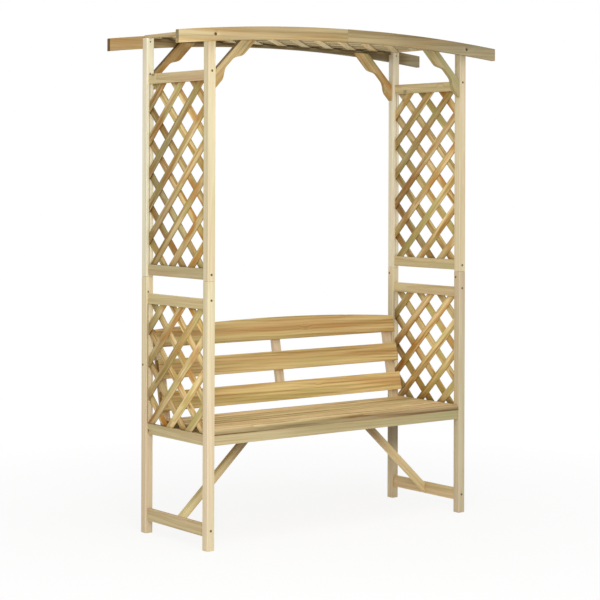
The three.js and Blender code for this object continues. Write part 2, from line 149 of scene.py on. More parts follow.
def makeTimberGroup(figure):
    group = bpy.data.node_groups.new("timberGrain", "ShaderNodeTree")
    addInputs(group, timberSockets)
    for name, kind in (("Colour", "Color"), ("Roughness", "Float"), ("Height", "Float")):
        group.interface.new_socket(name, in_out="OUTPUT", socket_type="NodeSocket" + kind)
    make, made, maths, vectors, combined = nodeMaker(group)
    given = make("NodeGroupInput").outputs
    place = given["Place"]

    def stretched(scale, detail, shift=0.0):
        moved = vectors("ADD", vectors("MULTIPLY", place, scale), (shift, shift, shift))
        return made("ShaderNodeTexNoise", {"Vector": moved, "Scale": 1.0, "Detail": detail})

    def setIn(value, band):
        low, high = figure[band]
        return made("ShaderNodeMapRange", {0: value, 1: low, 2: high}, interpolation_type="SMOOTHSTEP")

    def mixed(share, first, second):
        return make("ShaderNodeMix", {0: share, 6: first, 7: second}, data_type="RGBA").outputs[2]

    def held(value):
        return made("ShaderNodeClamp", {0: value})

    def valued(colour, value):
        return made("ShaderNodeHueSaturation", {"Value": value, "Color": colour})

    parts = make("ShaderNodeSeparateXYZ", {0: place}).outputs
    warp = stretched(figure["warp"], 2.0)
    streak = setIn(stretched(figure["streaks"], 3.0, 11.0), "streakBand")
    fibre = setIn(stretched(figure["fibres"], 2.0, 5.0), "fibreBand")

    # knots: a few of the cells, each with a dark heart and rings that bend round it
    cellPlace = vectors("MULTIPLY", place, figure["knotCells"])
    cells = make("ShaderNodeTexVoronoi", {"Vector": cellPlace, "Scale": 1.0}).outputs
    cellColour = made("ShaderNodeSeparateColor", {0: cells["Color"]})
    picked = maths("GREATER_THAN", cellColour, figure["knotShare"])
    heart = maths("MULTIPLY", setIn(cells["Distance"], "heartBand"), picked)
    halo = maths("MULTIPLY", setIn(cells["Distance"], "haloBand"), picked)

    # growth rings round a pith that lies behind the board
    side = maths("MULTIPLY_ADD", maths("SUBTRACT", warp, 0.5), figure["wander"], parts[1])
    deep = maths("ADD", parts[2], figure["pithDepth"])
    radius = maths("SQRT", maths("ADD", maths("MULTIPLY", side, side), maths("MULTIPLY", deep, deep)))
    radius = maths("MULTIPLY_ADD", parts[0], figure["taper"], radius)
    radius = maths("MULTIPLY_ADD", halo, figure["knotBend"], radius)
    ring = maths("FRACT", maths("MULTIPLY", radius, figure["ringsPerMetre"]))
    ring = maths("POWER", ring, figure["ringEdge"])
    fine = maths("FRACT", maths("MULTIPLY", radius, figure["fineRings"]))
    fine = maths("POWER", fine, figure["fineEdge"])

    # colour: rings and streaks first, then tints and knots; the end mark darkens end grain and painted shade
    # alike, and the arris mark paints eased edges paler, as worn wood and painted highlight
    dark = maths("MULTIPLY", ring, given["Rings"])
    dark = maths("MULTIPLY_ADD", maths("SUBTRACT", streak, 0.35), given["Streaks"], dark)
    dark = maths("MULTIPLY_ADD", maths("SUBTRACT", fibre, 0.5), figure["fibreDark"], dark)
    dark = maths("MULTIPLY_ADD", fine, figure["fineDark"], dark)
    colour = mixed(held(dark), given["Light Wood"], given["Late Wood"])
    patchScale = combined(given["Patch Run"], figure["patchesAcross"], figure["patchesAcross"])
    for tint, shift, pull in (("Red", 23.0, 1.0), ("Green", 41.0, -1.0)):
        patch = setIn(stretched(patchScale, 2.0, shift), "patchBand")
        patch = maths("MULTIPLY", patch, given[tint + "s"])
        patch = maths("ADD", patch, maths("MAXIMUM", maths("MULTIPLY", given["Lean"], pull), 0.0))
        colour = mixed(held(patch), colour, given[tint + " Tint"])
    knotColour = valued(given["Red Tint"], figure["knotValue"])
    colour = mixed(maths("MULTIPLY", heart, given["Knots"]), colour, knotColour)
    # the end mark darkens real end grain and, on some faces, painted shade
    value = maths("SUBTRACT", given["Tone"], maths("MULTIPLY", given["End"], figure["endGrainAndShadeDark"]))
    colour = valued(colour, maths("MULTIPLY_ADD", given["Arris"], figure["arrisPaleAndHighlight"], value))

    rough = maths("MULTIPLY_ADD", fibre, figure["fibreRoughness"], figure["roughness"])
    height = maths("MULTIPLY_ADD", ring, 0.5, maths("MULTIPLY", fibre, 0.5))
    make("NodeGroupOutput", {"Colour": colour, "Roughness": rough, "Height": height})
    return group


timberGroup = makeTimberGroup(timberFigure)


def writtenColour(red, green, blue):
    # a colour as read off a picture, 0 to 255, in the linear values that a socket wants
    def linear(part):
        part = part / 255
        return part / 12.92 if part <= 0.04045 else ((part + 0.055) / 1.055) ** 2.4
    return (linear(red), linear(green), linear(blue), 1)


# one finish for each kind of timber: its four colours, and the strength of each mark
timberParts = ("Light Wood", "Late Wood", "Red Tint", "Green Tint",
               "Rings", "Streaks", "Reds", "Greens", "Knots", "Patch Run")
timberLooks = {
    "postTimber": (
        (242, 227, 190), (210, 186, 138), (228, 194, 168), (216, 212, 166), 0.32, 0.4, 0.3, 0.3, 0.0),
    "palePostTimber": (
        (244, 236, 210), (214, 196, 158), (226, 198, 176), (216, 216, 184), 0.3, 0.4, 0.2, 0.3, 0.0),
    "railTimber": (
        (224, 206, 160), (184, 156, 104), (206, 166, 134), (188, 184, 130), 0.45, 0.55, 0.35, 0.4, 0.6),
    "latticeTimber": (
        (232, 208, 154), (160, 118, 42), (178, 120, 44), (184, 172, 106), 0.55, 0.75, 0.75, 0.65, 0.6, 6.0),
    "roofTimber": (
        (238, 220, 174), (190, 156, 96), (200, 152, 92), (208, 198, 146), 0.4, 0.45, 0.35, 0.35, 0.3, 6.0),
    "beamTimber": (
        (216, 194, 146), (166, 136, 80), (192, 146, 84), (168, 160, 130), 0.5, 0.75, 0.4, 0.35, 0.4),
    "kneeTimber": (
        (212, 188, 138), (154, 118, 60), (180, 132, 60), (176, 170, 122), 0.5, 0.7, 0.5, 0.5, 0.3, 7.0),
    "seatTimber": (
        (238, 212, 158), (152, 116, 58), (198, 150, 104), (176, 166, 104), 0.55, 0.95, 0.35, 0.4, 0.4),
    "backTimber": (
        (220, 194, 134), (160, 124, 64), (192, 138, 84), (182, 172, 108), 0.55, 0.75, 0.4, 0.4, 0.15),
    "stileTimber": (
        (234, 214, 182), (206, 178, 142), (222, 184, 158), (210, 200, 150), 0.4, 0.5, 0.4, 0.3, 0.0),
    "hiddenTimber": (
        (196, 170, 118), (144, 110, 62), (176, 124, 84), (160, 150, 98), 0.45, 0.5, 0.4, 0.4, 0.6),
}

# the marks that each board's mesh carries for its material; the end grain mark also carries painted shade on
# chosen faces
boardMarks = {"Place": ("boardPlace", "Vector"), "Tone": ("boardTone", "Fac"), "Lean": ("boardLean", "Fac"),
              "End": ("endGrain", "Fac"), "Arris": ("arris", "Fac")}

# relief, in metres, and gloss of all timber
timberSurface = {"bump": 0.35, "relief": 0.0006, "gloss": 0.3}


def timberMaterial(name, look):
    material, (make, made, maths, vectors, combined) = newMaterial(name)
    grain = make("ShaderNodeGroup", node_tree=timberGroup)
    for socket, (mark, output) in boardMarks.items():
        mark = make("ShaderNodeAttribute", attribute_name=mark).outputs[output]
        material.node_tree.links.new(mark, grain.inputs[socket])
    for socket, value in zip(timberParts, look):
        grain.inputs[socket].default_value = writtenColour(*value) if isinstance(value, tuple) else value
    bump = made("ShaderNodeBump", {
        "Strength": timberSurface["bump"], "Distance": timberSurface["relief"],
        "Height": grain.outputs["Height"]})
    shader = made("ShaderNodeBsdfPrincipled", {
        "Base Color": grain.outputs["Colour"], "Roughness": grain.outputs["Roughness"],
        "Normal": bump, "Specular IOR Level": timberSurface["gloss"]})
    make("ShaderNodeOutputMaterial", {"Surface": shader})
    return material


finishes = {name: timberMaterial(name, look) for name, look in timberLooks.items()}

# steel of bolts and screws: the plain colour and its spots
steelLooks = {"boltSteel": ((84, 66, 36), (112, 88, 50)), "screwSteel": ((100, 82, 50), (130, 106, 66))}
steelSurface = {"spotsPerMetre": 420.0, "spotBand": (0.45, 0.65), "rough": 0.5, "spotRough": 0.2,
                "metal": 0.3}


def steelMaterial(name, plain, spotted):
    material, (make, made, maths, vectors, combined) = newMaterial(name)
    place = make("ShaderNodeTexCoord").outputs["Object"]
    spots = made("ShaderNodeTexNoise", {"Vector": place, "Scale": steelSurface["spotsPerMetre"],
                                        "Detail": 3.0})
    low, high = steelSurface["spotBand"]
    mask = made("ShaderNodeMapRange", {0: spots, 1: low, 2: high})
    colour = make("ShaderNodeMix", {0: mask, 6: writtenColour(*plain), 7: writtenColour(*spotted)},
                  data_type="RGBA").outputs[2]
    rough = maths("MULTIPLY_ADD", mask, steelSurface["spotRough"], steelSurface["rough"])
    shader = made("ShaderNodeBsdfPrincipled", {"Base Color": colour, "Metallic": steelSurface["metal"],
                                               "Roughness": rough})
    make("ShaderNodeOutputMaterial", {"Surface": shader})
    return material


for name, (plain, spotted) in steelLooks.items():
    finishes[name] = steelMaterial(name, plain, spotted)
print("finishes made:", len(finishes))

# sizes that several pieces share, in metres
seatSizes = {"width": 1.6002, "depth": 0.50165, "height": 1.9812, "seatTop": 0.45085, "postSize": 0.033,
             "seam": 0.0002, "beamThickness": 0.022, "openWidth": 1.23825, "drillOver": 0.01}
postOuterY = seatSizes["depth"] / 2 - seatSizes["beamThickness"]
postInnerY = postOuterY - seatSizes["postSize"]
postInnerX = seatSizes["openWidth"] / 2
postCentreX = postInnerX + seatSizes["postSize"] / 2
axisX, axisY, axisZ = Vector((1, 0, 0)), Vector((0, 1, 0)), Vector((0, 0, 1))
boardAxes = (axisX, axisY, axisZ)
sideSigns = {"left": -1, "right": 1}
endSigns = {"front": -1, "rear": 1}


def boardFrame(origin, u, v):
    # a frame for an outline: u and v in its plane, the third axis through it
    return Matrix.Translation(origin) @ Matrix((u, v, u.cross(v))).transposed().to_4x4()


def rectangle(length, width):
    x, y = length / 2, width / 2
    return [(-x, -y), (x, -y), (x, y), (-x, y)]


def clipOutline(points, low, high):
    # keeps the part of a convex outline that lies in a box
    walls = ((0, low[0], 1), (0, high[0], -1), (1, low[1], 1), (1, high[1], -1))
    for axis, limit, sign in walls:
        kept = []
        for here, there in zip(points, points[1:] + points[:1]):
            a, b = (here[axis] - limit) * sign, (there[axis] - limit) * sign
            if a >= 0:
                kept.append(here)
            if a * b < 0:
                share = a / (a - b)
                kept.append(tuple(h + (t - h) * share for h, t in zip(here, there)))
        points = kept
    return points


def plainMesh(holder):
    # what an object's modifiers make of its mesh
    graph = bpy.context.evaluated_depsgraph_get()
    return bpy.data.meshes.new_from_object(holder.evaluated_get(graph), preserve_all_data_layers=True,
                                           depsgraph=graph)


def drill(mesh, holes):
    # a hole is given as start, end and radius, a slot as its low and high corners
    holder = addObject("drilled", mesh)
    cutters = []
    for start, end, *radius in holes:
        cutterMesh = bpy.data.meshes.new("cutter")
        form = bmesh.new()
        if radius:
            bmesh.ops.create_cone(form, cap_ends=True, segments=24, radius1=radius[0], radius2=radius[0],
                                  depth=(end - start).length)
            turn = (end - start).to_track_quat("Z", "Y").to_matrix().to_4x4()
        else:
            bmesh.ops.create_cube(form, size=1)
            turn = Matrix.Diagonal((*(end - start), 1))
        form.transform(Matrix.Translation((start + end) / 2) @ turn)
        form.to_mesh(cutterMesh)
        form.free()
        cutter = addObject("cutter", cutterMesh)
        cut = holder.modifiers.new("cut", "BOOLEAN")
        cut.object, cut.operation, cut.solver = cutter, "DIFFERENCE", "EXACT"
        cutters.append(cutter)
    drilled = plainMesh(holder)
    for thing in cutters + [holder]:
        bpy.data.objects.remove(thing)
    return drilled


# for every board: what counts as a sharp edge, in radians, the steps that round it, how square a face is to
# the grain to be an end, or to a side to be part of an arris, how far the timber figure may be shifted, and
# the shades where none are given
boardRules = {"sharp": 0.4, "steps": 3, "endFacing": 0.8, "arrisFacing": (0.5, 0.985),
              "figureShift": (20, 0.03, 0.02), "tones": (0.94, 1.04), "leans": (-0.15, 0.15)}


def boardMesh(name, outline, thickness, place, grain, values, holes=()):
    # a board sawn to an outline, its arrises eased, with its own piece of timber figure; its piece's
    # dictionary gives the rounding and may give the board's shades
    shade = values.get("shades", {}).get(name)
    form = bmesh.new()
    arris = form.faces.layers.float.new("arris")
    near = [form.verts.new((x, y, -thickness / 2)) for x, y in outline]
    far = [form.verts.new((x, y, thickness / 2)) for x, y in outline]
    form.faces.new(near)
    form.faces.new(far)
    for i in range(len(outline)):
        j = (i + 1) % len(outline)
        form.faces.new((near[i], near[j], far[j], far[i]))
    bmesh.ops.recalc_face_normals(form, faces=form.faces)
    corners = [edge for edge in form.edges if edge.calc_face_angle() > boardRules["sharp"]]
    eased = bmesh.ops.bevel(form, geom=corners, offset=values["rounding"], segments=boardRules["steps"],
                            profile=0.5, affect="EDGES", clamp_overlap=True)
    # eased faces are marked to be painted paler, as worn wood and painted highlight
    for face in eased["faces"]:
        face[arris] = 1.0
    form.transform(place)
    if form.calc_volume(signed=True) < 0:
        bmesh.ops.reverse_faces(form, faces=form.faces)
    cutAcross(form, place.to_3x3() @ Vector(grain[0]), shade)
    mesh = bpy.data.meshes.new(name)
    form.to_mesh(mesh)
    form.free()
    if holes:
        mesh = drill(mesh, holes)
        mesh.name = name
    writeGrain(mesh, name, place, grain, shade)
    return mesh


def cutAcross(form, along, shade):
    # a row of edges across the board at each change of shade
    reaches = [vertex.co.dot(along) for vertex in form.verts]
    start, length = min(reaches), max(reaches) - min(reaches)
    for i in range(1, len(shade or ()) - 1):
        bmesh.ops.bisect_plane(form, geom=form.verts[:] + form.edges[:] + form.faces[:],
                               plane_co=along * (start + length * i / (len(shade) - 1)), plane_no=along)


def writeGrain(mesh, name, place, grain, shade):
    # grain holds the directions along, across and through the timber, in the outline's frame; shade holds
    # pairs of tone and lean to red or green, evenly spread from the board's low end to its high end
    dice = random.Random(name)
    shift = Vector([dice.uniform(-reach, reach) for reach in boardRules["figureShift"]])
    if not shade:
        shade = [(dice.uniform(*boardRules["tones"]), dice.uniform(*boardRules["leans"])) for end in endSigns]
    back = place.inverted()
    axes = Matrix(grain)
    spots = [axes @ (back @ vertex.co) for vertex in mesh.vertices]
    start = min(spot.x for spot in spots)
    length = max(spot.x for spot in spots) - start
    places, tones, leans = [], [], []
    for spot in spots:
        places.extend(spot + shift)
        at = (spot.x - start) / length * (len(shade) - 1)
        first = min(int(at), len(shade) - 2)
        tone, lean = (low + (high - low) * (at - first) for low, high in zip(shade[first], shade[first + 1]))
        tones.append(tone)
        leans.append(lean)
    along = place.to_3x3() @ Vector(grain[0])
    ends = [float(abs(face.normal.dot(along)) > boardRules["endFacing"]) for face in mesh.polygons]
    mesh.attributes.new("boardPlace", "FLOAT_VECTOR", "POINT").data.foreach_set("vector", places)
    for mark, domain, numbers in (("boardTone", "POINT", tones), ("boardLean", "POINT", leans),
                                  ("endGrain", "FACE", ends)):
        mesh.attributes.new(mark, "FLOAT", domain).data.foreach_set("value", numbers)


def shadeFaces(mesh, facing, amount):
    # paints shade on the faces that look one way, as much as they do, through the end grain mark
    ends = mesh.attributes["endGrain"].data
    for face, end in zip(mesh.polygons, ends):
        end.value = max(end.value, amount * max(face.normal.dot(facing), 0.0) ** 2)


plainGrain = ((1, 0, 0), (0, 1, 0), (0, 0, 1))
lengthGrain = ((0, 0, 1), (1, 0, 0), (0, 1, 0))


def showPiece(name, mesh, finish, slotName, *nodes):
    mesh.name = name
    if finish:
        mesh.materials.clear()
        mesh.materials.append(finishes[finish])
    piece = addObject(name, mesh)
    if nodes:
        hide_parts(*nodes)
    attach(piece, "root")


def straightBoard(node, axis, values, finish, slotName, low=None, holes=()):
    # a board that fills its node's box, or all of it above a low corner, with the grain along one axis
    boxLow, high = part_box(node)
    low = low or boxLow
    size = high - low
    second, third = (axis + 1) % 3, (axis + 2) % 3
    place = boardFrame((low + high) / 2, boardAxes[axis], boardAxes[second])
    mesh = boardMesh(node, rectangle(size[axis], size[second]), size[third], place, plainGrain, values, holes)
    showPiece(node + "_wood", mesh, finish, slotName, node)


# height of the arch above its crown, a negative number, at a distance from the middle
def archFall(x, halfSpan, drop):
    radius = (halfSpan * halfSpan + drop * drop) / (2 * drop)
    return math.sqrt(radius * radius - x * x) - radius


# beam shades run from left to right; the front beam grows darker from its left end to just right of its
# middle, and the sharp dark stretch just right of the rear right post is a painted shadow of the post
beamSizes = {
    "height": 0.05, "frontDrop": 0.0415, "rearDrop": 0.047, "rounding": 0.0015, "steps": 40,
    "boltSink": 0.0053, "boltHead": 0.0063, "boltHole": 0.0033, "boltReach": 0.04,
    "topShade": {"front": 0.84, "rear": 0.94}, "footShade": {"front": 1.09, "rear": 0.94},
    "shades": {
        "beam_front_left": ((1.15, -0.1), (1.1, -0.15), (0.98, -0.1), (1.0, -0.25), (1.0, -0.3),
                            (0.93, -0.25), (0.9, -0.05), (0.84, 0), (0.85, -0.05)),
        "beam_front_right": ((0.7, 0), (0.68, 0), (0.63, 0), (0.56, 0), (0.6, 0), (0.66, -0.1),
                             (0.72, -0.25), (0.78, -0.35), (0.84, -0.4)),
        "beam_rear_left": ((0.8, 0.3), (0.78, 0.3), (0.7, 0)),
        "beam_rear_right": ((0.55, -0.2),) * 13 + ((0.3, 0.3), (0.34, 0.3), (0.6, -0.3), (0.62, -0.3))}}


def boltHeight(end):
    fall = archFall(postCentreX, seatSizes["width"] / 2, beamSizes[end + "Drop"])
    return seatSizes["height"] + fall - beamSizes["height"] / 2


# rails below and above each side lattice
latticeRails = {"lower": ("seat_rail_", "lower_top_rail_"), "upper": ("upper_foot_rail_", "top_rail_")}


def latticeOpening(level, side):
    foot, head = latticeRails[level]
    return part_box(foot + side)[1].z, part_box(head + side)[0].z


# posts, in two lengths each; their shades run from the foot up, and the dark band below the seat on the rear
# right lower post is a painted shadow of the seat
postSizes = {
    "rounding": 0.0022, "boltHole": 0.0033, "slotWidth": 0.0045, "slotDepth": 0.011,
    "slotPlace": {"lower_left": -0.0076, "upper_left": -0.0028, "lower_right": -0.0087,
                  "upper_right": 0.0003},
    "finishes": {"front": "postTimber", "rear": "palePostTimber"},
    "shades": {
        "post_front_left_lower": ((0.98, 0), (0.95, -0.1)),
        "post_front_left_upper": ((0.92, -0.1), (0.95, -0.1)),
        "post_front_right_lower": ((0.74, 0), (0.78, 0)),
        "post_front_right_upper": ((0.94, 0), (0.94, 0), (0.95, 0), (0.93, 0), (0.76, 0)),
        "post_rear_left_lower": ((0.95, 0), (0.97, 0)),
        "post_rear_left_upper": ((1.05, 0), (1.09, 0)),
        "post_rear_right_lower": (
            (0.86, 0.1), (0.9, 0.1), (0.9, 0.1), (0.88, 0.1), (0.5, 0.3), (0.38, 0.4), (0.42, 0.4),
            (0.7, 0.2), (1.15, 0), (1.2, 0), (1.18, 0), (1.0, 0), (0.82, 0), (0.8, 0), (0.82, 0), (0.9, 0),
            (1.0, 0)),
        "post_rear_right_upper": ((1.02, 0), (1.08, 0), (1.13, 0), (1.05, 0), (0.88, 0))}}


def latticeSlot(level, side, endSign, values):
    # a narrow slot in the inner face of a post, behind the ends of the lattice
    bottom, top = latticeOpening(level, side)
    x = sideSigns[side] * postCentreX + values["slotPlace"][level + "_" + side]
    middle = Vector((x, endSign * postInnerY, (bottom + top) / 2))
    reach = Vector((values["slotWidth"] / 2, values["slotDepth"], (top - bottom) / 2))
    return middle - reach, middle + reach


def makePosts(values):
    for side, sideSign in sideSigns.items():
        for end, endSign in endSigns.items():
            name = "post_" + end + "_" + side
            lower, upper = name + "_lower", name + "_upper"
            straightBoard(lower, 2, values, "postTimber", "post_timber",
                          holes=[latticeSlot("lower", side, endSign, values)])
            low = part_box(upper)[0]
            low.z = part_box(lower)[1].z + seatSizes["seam"]
            x, z, over = sideSign * postCentreX, boltHeight(end), seatSizes["drillOver"]
            start = Vector((x, endSign * (postInnerY - over), z))
            stop = Vector((x, endSign * (postOuterY + over), z))
            holes = [latticeSlot("upper", side, endSign, values), (start, stop, values["boltHole"])]
            straightBoard(upper, 2, values, values["finishes"][end], "post_timber", low, holes)


makePosts(postSizes)
print("posts made")

# side rails, four of them grooved for the lattice
railSizes = {
    "rounding": 0.002, "grooveDepth": 0.008, "grooveWidth": 0.0103,
    "grooved": {"seat_rail_": 1, "lower_top_rail_": -1, "upper_foot_rail_": 1, "top_rail_": -1},
    "shades": {
        "stretcher_left": ((0.93, 0.1), (0.9, 0)), "stretcher_right": ((1.1, 0), (1.2, 0)),
        "lower_top_rail_left": ((1.08, 0), (1.05, 0)), "top_rail_left": ((1.08, 0.1), (1.05, 0)),
        "upper_foot_rail_left": ((0.85, 0.1), (0.9, 0.1)), "seat_rail_right": ((0.72, 0), (0.72, 0)),
        "top_rail_right": ((1.1, 0.1), (1.0, 0))}}


def groovedOutline(height, thickness, values, grooveSide):
    # in Z and X, the groove along the top or the foot edge
    z, x = height / 2, thickness / 2
    bed, half = z - values["grooveDepth"], values["grooveWidth"] / 2
    notch = [(z, -x), (z, -half), (bed, -half), (bed, half), (z, half), (z, x), (-z, x), (-z, -x)]
    return [(grooveSide * a, grooveSide * b) for a, b in notch]


def makeRails(values):
    for side in sideSigns:
        for rail in ("stretcher_", "roof_end_rail_"):
            straightBoard(rail + side, 1, values, "railTimber", "rail_timber")
        for rail, grooveSide in values["grooved"].items():
            node = rail + side
            low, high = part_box(node)
            outline = groovedOutline(high.z - low.z, high.x - low.x, values, grooveSide)
            place = boardFrame((low + high) / 2, axisZ, axisX)
            mesh = boardMesh(node, outline, high.y - low.y, place, lengthGrain, values)
            showPiece(node + "_wood", mesh, "railTimber", "rail_timber", node)


makeRails(railSizes)
print("side rails made")


# arched beams, each half drilled for its bolt
def makeBeams(values):
    half, inner = seatSizes["width"] / 2, seatSizes["seam"] / 2
    thickness = seatSizes["beamThickness"]
    for end, endSign in endSigns.items():
        drop = values[end + "Drop"]
        y = endSign * (seatSizes["depth"] - thickness) / 2
        place = boardFrame(Vector((0, y, seatSizes["height"])), axisX, axisZ)
        inward = Vector((0, -endSign, 0))
        for side, sideSign in sideSigns.items():
            node = "beam_" + end + "_" + side
            top = []
            for i in range(values["steps"] + 1):
                x = inner + (half - inner) * i / values["steps"]
                top.append((sideSign * x, archFall(x, half, drop)))
            foot = [(x, z - values["height"]) for x, z in reversed(top)]
            face = Vector((sideSign * postCentreX, endSign * seatSizes["depth"] / 2, boltHeight(end)))
            start = face - inward * seatSizes["drillOver"]
            holes = [(start, face + inward * values["boltSink"], values["boltHead"]),
                     (start, face + inward * values["boltReach"], values["boltHole"])]
            mesh = boardMesh(node, top + foot, thickness, place, plainGrain, values, holes)
            for vertex, tone in zip(mesh.vertices, mesh.attributes["boardTone"].data):
                middle = seatSizes["height"] + archFall(vertex.co.x, half, drop) - values["height"] / 2
                tone.value *= values["topShade" if vertex.co.z > middle else "footShade"][end]
            showPiece(node + "_wood", mesh, "beamTimber", "beam_timber", node)
            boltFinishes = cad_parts["bolt_" + end + "_" + side].data.materials
            boltFinishes.clear()
            boltFinishes.append(finishes["boltSteel"])


makeBeams(beamSizes)
print("beams made")

# boards behind and below that carry the rest, and the axis that each runs along
carrierBoards = {"roof_ledger_front": 0, "roof_ledger_rear": 0, "beam_splice_front": 0, "beam_splice_rear": 0,
                 "seat_apron_rear": 0, "seat_bearer_side_left": 1, "seat_bearer_side_right": 1,
                 "seat_bearer_middle_left": 1, "seat_bearer_middle_right": 1}
# the roof ledgers are darkened as painted shade under the roof lattice
carrierSizes = {"rounding": 0.0015, "shades": {
    "roof_ledger_rear": ((0.4, 0.2), (0.4, 0.2)), "roof_ledger_front": ((0.6, 0), (0.6, 0)),
    "seat_bearer_side_right": ((0.78, 0), (0.78, 0))}}
apronSizes = {"rounding": 0.002, "shades": {"seat_apron_front": ((0.86, 0), (0.8, -0.2))}}
for node, axis in carrierBoards.items():
    straightBoard(node, axis, carrierSizes, "hiddenTimber", "hidden_timber")
straightBoard("seat_apron_front", 0, apronSizes, "railTimber", "rail_timber")
print("carriers made")

# knee braces: a straight back, an inner edge drawn in between two wide ends
kneeSizes = {
    "thickness": 0.022, "offset": 0.093, "endWidth": 0.049, "waistWidth": 0.026, "waistHalf": 0.02,
    "shoulderHalf": 0.076, "waistShift": -0.028, "steps": 14, "rounding": 0.002, "top": 1.931,
    "paintedBackShade": 1.1,
    "shades": {"knee_brace_front_left": ((0.92, 0.15), (0.88, 0)),
               "knee_brace_front_right": ((0.88, -0.3), (0.88, -0.3)),
               "knee_brace_rear_left": ((0.82, 0.6), (0.84, 0.4)),
               "knee_brace_rear_right": ((0.95, 0.4), (1.05, 0), (1.0, 0.1))}}


def kneeOutline(sign, values):
    root = math.sqrt(2)

    def fromCorner(run, reach):
        return (sign * (reach + run) / root, (run - reach) / root)

    offset = values["offset"]
    endReach, waistReach = offset + values["endWidth"], offset + values["waistWidth"]
    points = [fromCorner(offset, offset), fromCorner(-offset, offset), fromCorner(-endReach, endReach)]
    edge = []
    for i in range(values["steps"] + 1):
        share = i / values["steps"]
        run = values["shoulderHalf"] + (values["waistHalf"] - values["shoulderHalf"]) * share
        edge.append((run, endReach + (waistReach - endReach) * (1 - math.cos(math.pi * share)) / 2))
    points += [fromCorner(values["waistShift"] - run, reach) for run, reach in edge]
    points += [fromCorner(values["waistShift"] + run, reach) for run, reach in reversed(edge)]
    return points + [fromCorner(endReach, endReach)]


def makeKneeBraces(values):
    slope = math.sqrt(0.5)
    for end, endSign in endSigns.items():
        for side, sideSign in sideSigns.items():
            node = "knee_brace_" + end + "_" + side
            y = endSign * (postOuterY - seatSizes["seam"] - values["thickness"] / 2)
            origin = Vector((sideSign * (postInnerX - seatSizes["seam"]), y, values["top"]))
            place = boardFrame(origin, axisX, axisZ)
            grain = ((-sideSign * slope, slope, 0), (-slope, -sideSign * slope, 0), (0, 0, 1))
            mesh = boardMesh(node, kneeOutline(-sideSign, values), values["thickness"], place, grain, values)
            # the straight back face, which looks up and out under the roof, gets painted shade
            shadeFaces(mesh, Vector((sideSign * slope, 0, slope)), values["paintedBackShade"])
            showPiece(node + "_wood", mesh, "kneeTimber", "knee_timber", node)


makeKneeBraces(kneeSizes)

# struts from the stretchers up to the middle bearers; their shades darken towards the top as a painted shadow
# under the seat
strutSizes = {
    "width": 0.03, "thickness": 0.02, "foot": 0.075, "slope": 42.5, "rounding": 0.002,
    "shades": {
        "seat_brace_left": ((1.3, -0.1), (1.3, -0.1), (1.2, -0.1), (1.2, -0.1), (1.15, 0), (1.0, 0),
                            (0.58, 0.2), (0.5, 0.2), (0.5, 0.2)),
        "seat_brace_right": ((1.36, -0.2), (1.36, -0.2), (1.34, -0.2), (1.36, -0.2), (1.34, -0.2),
                             (1.1, -0.1), (0.62, 0.2), (0.55, 0.2), (0.55, 0.2))}}


def makeStruts(values):
    slope = math.radians(values["slope"])
    along = Vector((-math.cos(slope), math.sin(slope)))
    across = Vector((along.y, -along.x)) * values["width"] / 2
    for side, sideSign in sideSigns.items():
        node = "seat_brace_" + side
        low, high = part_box(node)
        inner, outer = sorted((abs(low.x), abs(high.x)))
        foot = Vector((outer, values["foot"]))
        strip = [foot - along - across, foot - along + across, foot + along + across, foot + along - across]
        outline = clipOutline([tuple(point) for point in strip], (inner, 0), (outer, high.z))
        outline = [(sideSign * x, z) for x, z in outline]
        grain = ((sideSign * along.x, along.y, 0), (-along.y, sideSign * along.x, 0), (0, 0, 1))
        place = boardFrame(Vector(), axisX, axisZ)
        mesh = boardMesh(node, outline, values["thickness"], place, grain, values)
        showPiece(node + "_wood", mesh, "railTimber", "knee_timber", node)


makeStruts(strutSizes)
print("braces made")


# Geometry Nodes: helpers
def newShapeTree(name, sockets):
    tree = bpy.data.node_groups.new(name, "GeometryNodeTree")
    for direction in ("OUTPUT", "INPUT"):
        tree.interface.new_socket("Geometry", in_out=direction, socket_type="NodeSocketGeometry")
    addInputs(tree, sockets)
    return tree


def growMesh(tree, name, values, start=None):
    # runs a tree and keeps its result as a plain mesh
    holder = addObject(name + "Start", start or bpy.data.meshes.new(name + "Start"))
    shape = holder.modifiers.new("shape", "NODES")
    shape.node_group = tree
    for item in tree.interface.items_tree:
        if item.in_out == "INPUT" and item.name in values:
            shape[item.identifier] = values[item.name]
    mesh = plainMesh(holder)
    holder.modifiers.clear()
    bpy.data.objects.remove(holder)
    return mesh


def storeAttribute(made, geometry, name, value, kind="FLOAT", domain="POINT"):
    return made("GeometryNodeStoreNamedAttribute", {0: geometry, "Name": name, "Value": value},
                data_type=kind, domain=domain)


def randomIn(make, number, seed, low, high):
    return make("FunctionNodeRandomValue", {2: low, 3: high, "ID": number, "Seed": seed}).outputs[1]


def realOnPoints(made, points, shape, rotation=(0.0, 0.0, 0.0)):
    copies = made("GeometryNodeInstanceOnPoints", {"Points": points, "Instance": shape, "Rotation": rotation})
    return made("GeometryNodeRealizeInstances", {0: copies})


def closeTree(make, made, geometry, material):
    whole = made("GeometryNodeRealizeInstances", {0: geometry})
    make("NodeGroupOutput", {0: made("GeometryNodeSetMaterial", {0: whole, "Material": material})})


